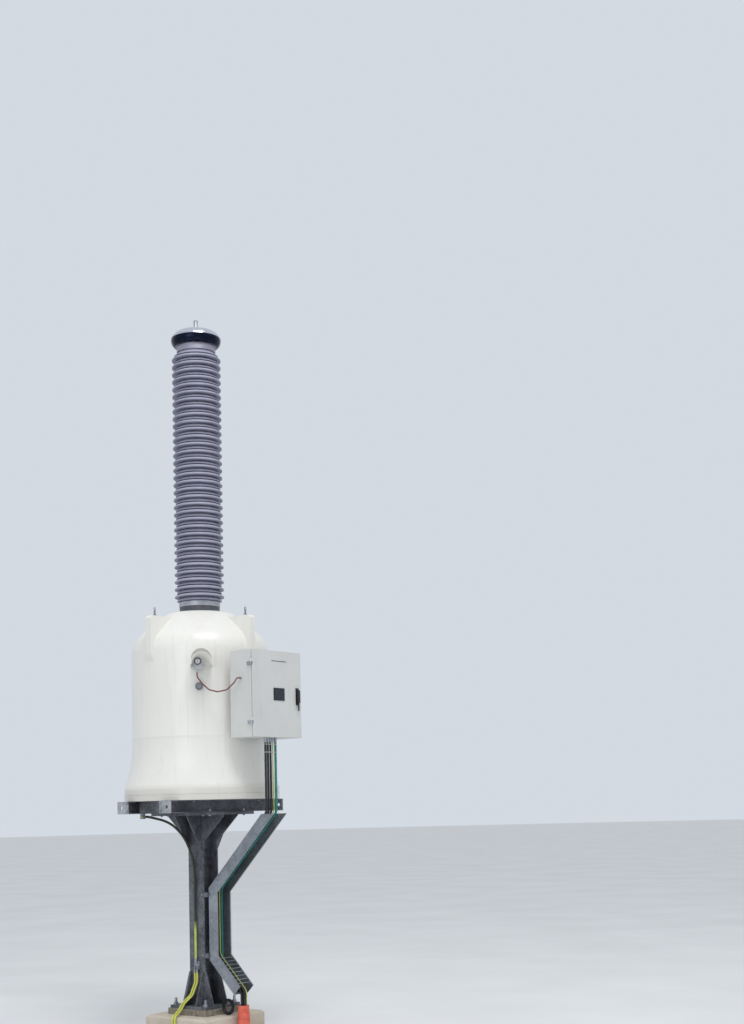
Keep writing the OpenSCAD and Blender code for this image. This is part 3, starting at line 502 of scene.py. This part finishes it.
def soften(node, width):
    """Put a copy of a CAD node with rounded edges in its place."""
    bm = bmesh.new()
    bm.from_mesh(nodes[node].data)
    bmesh.ops.remove_doubles(bm, verts=bm.verts[:], dist=1e-5)
    bmesh.ops.dissolve_limit(bm, angle_limit=math.radians(0.5), verts=bm.verts[:],
                             edges=bm.edges[:])
    sharp = [edge for edge in bm.edges
             if len(edge.link_faces) == 2 and edge.calc_face_angle() > math.radians(40)]
    bmesh.ops.bevel(bm, geom=sharp, offset=width, segments=2, profile=0.5,
                    affect="EDGES", material=-1, clamp_overlap=True)
    looks = [SLOT_OF[node]]
    if node == "frame_beams":
        # The plates that close the beams' ends get a lighter zinc: painted light, as if sun reached
        # them while the rest of the beams lie in shade
        looks.append("sunlit_end_zinc")
        for face in bm.faces:
            face.material_index = int(abs(face.calc_center_median().y) > BEAM_END_Y)
    finish_piece(node + "_soft", bm, looks, nodes[node]["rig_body"], [node], flat=True)


def rounded(points, radius, steps):
    """Route with an arc in place of each inner corner."""
    points = [Vector(p) for p in points]
    route = [points[0]]
    for a, b, c in zip(points, points[1:], points[2:]):
        u, w = (a - b).normalized(), (c - b).normalized()
        half = u.angle(w) / 2
        run = min(radius / math.tan(half), (a - b).length * 0.48, (c - b).length * 0.48)
        centre = b + (u + w).normalized() * run / math.cos(half)
        start, end = b + u * run - centre, b + w * run - centre
        for k in range(steps + 1):
            share = k / steps
            route.append(centre + start.length * (start * (1 - share) + end * share).normalized())
    return route + [points[-1]]


def swept(bm, route, radius, sides, side_axis, stripe=0):
    """Round rod along a route. Its first faces around, stripe of them, get the second material."""
    def station(index):
        ahead = route[min(index + 1, len(route) - 1)] - route[max(index - 1, 0)]
        z = ahead.normalized()
        x = Vector(side_axis).cross(z).normalized()
        return Matrix.Translation(route[index]) @ Matrix((x, z.cross(x), z)).transposed().to_4x4()

    place = station(0)
    circle = bmesh.ops.create_circle(bm, cap_ends=True, segments=sides, radius=radius, matrix=place)
    cap = circle["verts"][0].link_faces[0]
    ring = [loop.edge for loop in cap.loops]
    for index in range(1, len(route)):
        ahead = station(index)
        known = {edge: set(edge.link_faces) for edge in ring}
        made = bmesh.ops.extrude_edge_only(bm, edges=ring)["geom"]
        verts = [item for item in made if isinstance(item, bmesh.types.BMVert)]
        bmesh.ops.transform(bm, matrix=ahead @ place.inverted(), verts=verts)
        place = ahead
        after = []
        for number, edge in enumerate(ring):
            face = next(f for f in edge.link_faces if f not in known[edge])
            if number < stripe:
                face.material_index = 1
            after.append(next(e for e in face.edges if not set(e.verts) & set(edge.verts)))
        ring = after
    bmesh.ops.holes_fill(bm, edges=ring, sides=sides)
    bmesh.ops.recalc_face_normals(bm, faces=bm.faces[:])


def axes(at, along):
    """Matrix that puts a shape built on +Z at a point, pointing along a direction."""
    return Matrix.Translation(at) @ Vector(along).to_track_quat("Z", "Y").to_matrix().to_4x4()


def disc(bm, place, radius, depth, segments=24, top=None):
    """Short cylinder or cone that starts at the place and grows along its Z."""
    bmesh.ops.create_cone(bm, cap_ends=True, segments=segments, radius1=radius,
                          radius2=radius if top is None else top, depth=depth,
                          matrix=place @ Matrix.Translation((0, 0, depth / 2)))


def bolt(bm, at, along, size, tail=0.0):
    """Hexagon head with a chamfered top, on a washer, with an optional thread beyond it."""
    place = axes(at, along)
    disc(bm, place, size * 1.05, size * 0.16, 20)
    start = place @ Matrix.Translation((0, 0, size * 0.16))
    disc(bm, start, size * 0.88, size * 0.52, 6)
    disc(bm, start @ Matrix.Translation((0, 0, size * 0.52)), size * 0.88, size * 0.12, 6,
         size * 0.7)
    if tail:
        disc(bm, start @ Matrix.Translation((0, 0, size * 0.6)), size * 0.5, tail, 12)


def block(bm, low, high, width, segments=2):
    """Box between two corners, its edges rounded by width."""
    low, high = Vector(low), Vector(high)
    made = bmesh.ops.create_cube(bm, size=1.0, matrix=Matrix.Translation((low + high) / 2)
                                 @ Matrix.Diagonal((*(high - low), 1.0)))
    edges = list({edge for vert in made["verts"] for edge in vert.link_edges})
    bmesh.ops.bevel(bm, geom=edges, offset=width, segments=segments, profile=0.5,
                    affect="EDGES", material=-1, clamp_overlap=True)


# ---------------------------------------------------------------- tank

BARREL_R = 0.627
FLANGE_R = 0.704
FLANGE_TOP_Z = 2.160
FLARE_TOP_Z = 2.590
FLARE_R = 1.25
DOME_Z = 3.385
KNUCKLE_R = 0.240
CROWN_R = 1.600
DOME_TOP_R = 0.300


def bead(z, proud):
    """Low rounded weld bead, 16 mm wide, around the barrel at a height."""
    return [(BARREL_R, z - 0.008), (BARREL_R + proud * 0.6, z - 0.005), (BARREL_R + proud, z),
            (BARREL_R + proud * 0.6, z + 0.005), (BARREL_R, z + 0.008)]


def tank():
    """Pressed and welded shell: flange, flare, barrel and dome, with a bead above the flare."""
    low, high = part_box("tank_base_plate")
    ring = [(0, low.z), (FLANGE_R - 0.003, low.z), (FLANGE_R, low.z + 0.003),
            (FLANGE_R, high.z - 0.001), (FLANGE_R - 0.001, high.z), (0, high.z)]
    finish_piece("tank_base_ring", spun(ring, 128), ["tank_paint"], "transformer",
                 ["tank_base_plate"])
    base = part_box("tank_skirt")[0].z
    # The joint between the two flanges is a fine line
    shell = [(0, base), (FLANGE_R - 0.003, base), (FLANGE_R - 0.003, base + 0.002),
             (FLANGE_R, base + 0.003), (FLANGE_R, FLANGE_TOP_Z - 0.002)]
    for i in range(27):
        z = FLANGE_TOP_Z + (FLARE_TOP_Z - FLANGE_TOP_Z) * i / 26
        shell.append((BARREL_R + FLARE_R - math.sqrt(FLARE_R ** 2 - (FLARE_TOP_Z - z) ** 2), z))
    shell += bead(FLARE_TOP_Z + 0.03, 0.001) + [(BARREL_R, DOME_Z - 0.3), (BARREL_R, DOME_Z)]
    for a in range(3, 46, 3):
        shell.append((BARREL_R - KNUCKLE_R + KNUCKLE_R * math.cos(math.radians(a)),
                      DOME_Z + KNUCKLE_R * math.sin(math.radians(a))))
    turn = math.radians(45)
    centre = (shell[-1][0] - CROWN_R * math.cos(turn), shell[-1][1] - CROWN_R * math.sin(turn))
    last = math.acos((DOME_TOP_R - centre[0]) / CROWN_R)
    for i in range(1, 15):
        a = turn + (last - turn) * i / 14
        shell.append((centre[0] + CROWN_R * math.cos(a), centre[1] + CROWN_R * math.sin(a)))
    shell.append((0, shell[-1][1]))
    finish_piece("tank_shell", spun(shell, 160), ["tank_paint"], "transformer",
                 ["tank_skirt", "tank_barrel", "tank_dome"])


# ---------------------------------------------------------------- insulator

TUBE_R = 0.166
SHED_START, SHED_END, SHEDS, BARE_END = 3.872, 6.231, 33, 0.017
# Outlines of a small and a large shed, as radius and height in mm above the pitch's start
SMALL_SHED = [(166, 6.4), (188, 7.4), (202, 8.2), (205.2, 9.4), (206, 13), (205, 17),
              (199, 22), (185, 31.5), (172, 38.4), (166, 40.4)]
LARGE_SHED = [(166, 41.1), (196, 42), (219, 42.9), (225.6, 44), (227, 48), (226.2, 53.5),
              (221, 60), (206, 68), (184, 73.8), (166, 75.3)]


def insulator():
    """Small and large sheds in turn, moulded on a tube, with rounded rims."""
    pitch = (SHED_END - BARE_END - SHED_START) / (SHEDS + 0.5)
    outline = [(0, SHED_START), (TUBE_R, SHED_START)]
    for i in range(SHEDS + 1):
        for shed in (SMALL_SHED, LARGE_SHED if i < SHEDS else []):
            outline += [(r / 1000, SHED_START + i * pitch + z / 1000) for r, z in shed]
    outline += [(TUBE_R, SHED_END), (0, SHED_END)]
    finish_piece("insulator_sheds", spun(outline, 72), ["silicone"], "transformer", ["insulator"])


def top_cap():
    """Spun cap: a tight curve under the rim and a flatter lid above it."""
    low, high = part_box("top_cap")
    cap_r, under_r, lid_r = 0.232, 0.058, 0.130
    under_turn = math.radians(70)
    under_h, lid_h = (high.z - low.z) * 0.4, (high.z - low.z) * 0.565
    outline = [(0, low.z)]
    for i in range(15):
        a = under_turn * (i / 14 - 1)
        outline.append((cap_r - under_r + under_r * math.cos(a),
                        low.z + under_h * (1 + math.sin(a) / math.sin(under_turn))))
    for i in range(1, 19):
        a = math.radians(90 * i / 18)
        outline.append((cap_r - lid_r + lid_r * math.cos(a),
                        low.z + under_h + lid_h * math.sin(a)))
    outline.append((0, high.z))
    finish_piece("cap_spinning", spun(outline, 96), ["head_metal"], "transformer", ["top_cap"])


def terminal():
    """Stud with a chamfered end on a turned collar."""
    low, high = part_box("terminal_stud")
    outline = [(0, low.z), (0.04, low.z), (0.04, low.z + 0.011), (0.037, low.z + 0.014),
               (0.022, low.z + 0.014), (0.02, low.z + 0.017), (0.02, high.z - 0.003),
               (0.017, high.z), (0, high.z)]
    finish_piece("stud_turning", spun(outline, 48), ["sleeve_metal"], "transformer",
                 ["terminal_stud"])


# ---------------------------------------------------------------- gauge and terminal box


def out_at(distance, aside, z):
    """Point at a distance from the axis, between -Y and +X, and aside from that line."""
    return Vector(((distance + aside) / math.sqrt(2), (aside - distance) / math.sqrt(2), z))


def gauge_face():
    """Dark bezel, white dial with plain marks, and needle, in front of the gauge's case."""
    place = axes(out_at(0.709, -0.031, 3.259), (1, -1, 0))
    dial_r, bezel_r = 0.0237, 0.0316
    bezel = spun([(dial_r, 0), (dial_r, 0.004), (0.026, 0.006), (0.030, 0.006), (bezel_r, 0.004),
                  (bezel_r, 0), (dial_r, 0)], 48)
    block(bezel, (-0.0012, -0.006, 0.002), (0.0012, 0.016, 0.0034), 0.0004)
    for k in range(-4, 5):
        turn = Matrix.Rotation(math.radians(30 * k), 4, "Z")
        before = set(bezel.verts)
        block(bezel, (-0.0006, 0.018, 0.002), (0.0006, 0.0225, 0.0026), 0.0002, 1)
        bmesh.ops.transform(bezel, matrix=turn, verts=[v for v in bezel.verts if v not in before])
    bmesh.ops.transform(bezel, matrix=place, verts=bezel.verts[:])
    finish_piece("gauge_bezel", bezel, ["handle_black"], "transformer")
    dial = bmesh.new()
    disc(dial, place, dial_r, 0.002, 48)
    finish_piece("gauge_dial", dial, ["dial_white"], "transformer")


def door_trim():
    """Bluish pane in the window's black frame, a seal in the door's slot, and the handle's tail."""
    for name, low, high, width, slot, body in (
            ("window_pane", (0.944, -0.043, 2.921), (0.945, 0.075, 3.005), 0.0003, "blue_pane",
             "door"),
            ("door_slot_seal", (0.940, -0.074, 3.253), (0.9425, 0.118, 3.258), 0.001,
             "green_seal", "door"),
            ("handle_tail", (0.955, 0.251, 2.823), (0.965, 0.263, 2.900), 0.003, "handle_black",
             "handle")):
        bm = bmesh.new()
        block(bm, low, high, width)
        finish_piece(name, bm, [slot], body, flat=True)


# ---------------------------------------------------------------- fasteners and tray fittings


def fasteners():
    """Hexagon bolts of the frame, the tank's foot, the beam ends and the tray's clamps."""
    bm = bmesh.new()
    beam_x, flange_aside, end_bolt_x = 0.264, 0.042, 0.212
    for sx in (-1, 1):
        for sy in (-1, 1):
            for x in (sx * beam_x - flange_aside, sx * beam_x + flange_aside):
                bolt(bm, (x, sy * 0.22, 1.920), (0, 0, -1), 0.012)
                bolt(bm, (x, sy * 0.22, 1.954), (0, 0, 1), 0.012, 0.010)
                bolt(bm, (x, sy * 0.42, 2.046), (0, 0, -1), 0.012)
            for z in (1.966, 2.035):
                bolt(bm, (sx * end_bolt_x, sy * 0.730, z), (0, sy, 0), 0.010)
    for z in (0.668, 1.209):
        for sy in (-1, 1):
            bolt(bm, (0.082, sy * 0.107, z), (0, sy, 0), 0.009)
    finish_piece("frame_bolts", bm, ["bright_zinc"], "transformer")
    bm = bmesh.new()
    bolt(bm, (-0.160, -0.594, 1.924), (0, -1, 0), 0.010)
    finish_piece("earth_clamp_bolt", bm, ["yellow_zinc"], "transformer")


def tray_fittings():
    """Wire rungs over the open side of the tray's foot, and ties round the cables."""
    bm = bmesh.new()
    for k in range(8):
        x, z = 0.270 + 0.030 * k, 0.648 - 0.030 * k
        swept(bm, [Vector((x, -0.089, z)), Vector((x, 0.089, z))], 0.003, 8, (0, 0, 1))
    finish_piece("tray_rungs", bm, ["tray_zinc"], "transformer")
    bm = bmesh.new()
    for z in (2.528, 2.458):
        block(bm, (0.8385, -0.0865, z - 0.003), (0.8615, 0.0685, z + 0.003), 0.001)
    finish_piece("cable_ties", bm, ["tie_nylon"], "transformer", flat=True)


# ---------------------------------------------------------------- cables

TRAY_X, UPPER_Z, LOWER_Z = 0.150, 1.270, 0.630
DROP_X, BOX_Z, GLAND_H, LIFT = 0.850, 2.585, 0.042, 0.028
CONDUIT = (0.456, 0.015)
CABLE_END_Z = 0.185
CABLE_LAYER = 0.030
COIL = Vector((0.312, -0.030, 0.223))
# Turns of the coil, as radius and distance along Y in mm
COIL_TURNS = ((54.5, -11.2), (54.5, 0), (54.5, 11.2), (65.5, -5.6), (65.5, 5.6))
BLACK_R, TEAL_R, BOND_R, COIL_CORD_R = 0.010, 0.011, 0.005, 0.0056


def tray_route(row, foot, over=0.0):
    """Route of a cable down the tray into the conduit, higher by over above the tray's foot."""
    side = LIFT * math.sqrt(2)
    low = LOWER_Z + side + over
    x = TRAY_X + LIFT
    foot_x, foot_y = CONDUIT[0] + foot[0] / 1000, CONDUIT[1] + foot[1] / 1000
    y = row / 1000
    return rounded([(DROP_X, y, BOX_Z - GLAND_H / 2), (DROP_X, y, UPPER_Z - side + DROP_X - TRAY_X),
                    (x, y * 0.8, UPPER_Z - side + LIFT), (x, y * 0.8, low - LIFT),
                    (foot_x, foot_y, low - foot_x + TRAY_X),
                    (foot_x, foot_y, CABLE_END_Z)], 0.09, 8)


def tray_cables():
    """Three black cables, a coil of spare cable, a teal cable and a striped bonding wire."""
    black = bmesh.new()
    for row, foot, over in ((-75, (3, -28), 0), (-43, (27, -14), CABLE_LAYER), (-9, (3, 0), 0)):
        swept(black, tray_route(row, foot, over), BLACK_R, 16, (0, 1, 0))
    spiral = []
    for radius, aside in COIL_TURNS:
        for k in range(24):
            a = 2 * math.pi * k / 24
            spiral.append(COIL + Vector((radius * math.cos(a), aside, radius * math.sin(a))) / 1000)
    swept(black, spiral, COIL_CORD_R, 10, (0, 1, 0))
    finish_piece("black_cable_run", black, ["black_sheath"], "transformer", ["black_cables"])
    teal = bmesh.new()
    swept(teal, tray_route(56, (3, 28)), TEAL_R, 16, (0, 1, 0))
    finish_piece("teal_cable_run", teal, ["teal_sheath"], "transformer", ["teal_cable"])
    bond = bmesh.new()
    swept(bond, tray_route(22, (27, 12), CABLE_LAYER), BOND_R, 12, (0, 1, 0), 5)
    finish_piece("bonding_wire_run", bond, ["green_yellow_sheath", "yellow_stripe"], "transformer",
                 ["bonding_wire"])


def gauge_lead():
    """Lead from the knob below the gauge, in a loose loop to its gland on the box."""
    start = out_at(0.673, -0.037, 3.166)
    route = [start, start + Vector((0, 0, -0.041)), (0.490, -0.486, 3.068),
             (0.553, -0.464, 3.008), (0.640, -0.446, 2.984), (0.718, -0.410, 2.998),
             (0.778, -0.378, 3.062), (0.794, -0.362, 3.100), (0.794, -0.332, 3.100)]
    bm = bmesh.new()
    swept(bm, rounded(route, 0.06, 6), 0.006, 12, (1, -1, 0))
    finish_piece("gauge_lead_run", bm, ["lead_sheath"], "transformer", ["gauge_lead"])


def earth_cables():
    """Cable from the frame down the column, and a striped pair from the joint over the plinth."""
    column_face_y, plate_t, upper_r, lower_r = -0.095, 0.006, 0.011, 0.009
    face_y = column_face_y - plate_t - upper_r
    start = Vector((-0.168, -0.572, 1.918))
    upper = [start, start + Vector((0, 0.052, 0)), (-0.060, -0.360, 1.868), (-0.038, -0.196, 1.730),
             (-0.008, -0.120, 1.530), (0, face_y, 1.350), (0, face_y, 0.622)]
    lower = [(0, face_y, 0.540), (0, face_y, 0.430), (-0.022, -0.150, 0.318),
             (-0.060, -0.215, 0.252), (-0.064, -0.262, 0.190), (-0.036, -0.330, 0.166),
             (-0.012, -0.372, 0.164), (-0.008, -0.391, 0.140), (-0.008, -0.391, 0.004)]
    bm = bmesh.new()
    swept(bm, rounded(upper, 0.6, 8), upper_r, 16, (1, 0, 0))
    for aside in (-0.014, 0.014):
        swept(bm, rounded([Vector(p) + Vector((aside, 0, 0)) for p in lower], 0.06, 7), lower_r,
              16, (1, 0, 0), 4)
    finish_piece("earth_cable_run", bm, ["earth_sheath", "yellow_stripe"], "transformer",
                 ["earth_cables"], slot="green_yellow_sheath")


# ---------------------------------------------------------------- build

for node, obj in nodes.items():
    obj.data.materials.clear()
    obj.data.materials.append(MATERIALS[SLOT_OF[node]])

place_camera()
place_lights()
place_floor()
tank()
insulator()
top_cap()
terminal()
gauge_face()
door_trim()
fasteners()
tray_fittings()
tray_cables()
gauge_lead()
earth_cables()
for node, width in (("concrete_plinth", 0.004), ("grout_pad", 0.008), ("base_plate", 0.002),
                    ("support_column", 0.003), ("base_gussets", 0.0015), ("head_gussets", 0.0015),
                    ("head_plate", 0.002), ("frame_beams", 0.002), ("frame_channels", 0.002),
                    ("lifting_lugs", 0.005), ("insulator_foot", 0.002), ("insulator_sleeve", 0.002),
                    ("insulator_head", 0.002), ("box_body", 0.0014), ("box_door", 0.0014),
                    ("box_standoffs", 0.002), ("gauge_visor", 0.0015), ("density_gauge", 0.002),
                    ("filling_valve", 0.002), ("tray_brackets", 0.0015), ("conduit", 0.0015),
                    ("door_handle", 0.003), ("anchor_bolts", 0.001)):
    soften(node, width)

scene.view_settings.view_transform = "Standard"
